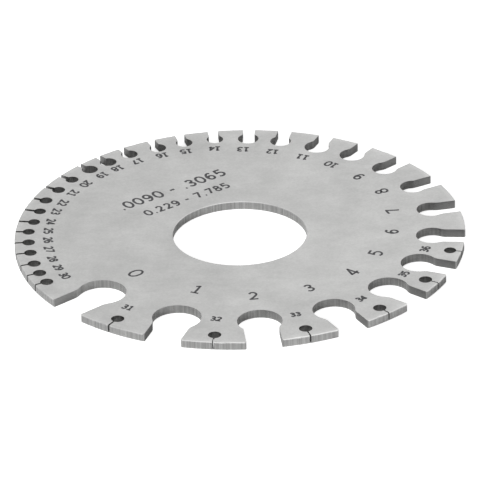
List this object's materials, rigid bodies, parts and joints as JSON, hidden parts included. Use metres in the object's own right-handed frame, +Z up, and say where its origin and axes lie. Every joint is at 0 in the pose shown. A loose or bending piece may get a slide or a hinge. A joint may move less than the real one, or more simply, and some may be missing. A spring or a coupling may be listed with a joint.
{
  "type": "wire gauge",
  "caption": "Round flat steel plate for gauging wire and sheet, with numbered rim notches of stepped width that end in relief holes, and a large central bore.",
  "frame": {"origin": "centre of the disc on its underside", "axes": "+Z up through the bore, out of the numbered face; +X to the right and +Y away in the pictured view, with the widest notch at the front left"},
  "size_m": [0.0856, 0.0856, 0.0016],
  "materials": {
    "stainless_steel": "tumbled satin"
  },
  "bodies": {
    "root": {"gauge_plate": "stainless_steel"}
  },
  "joints": []
}
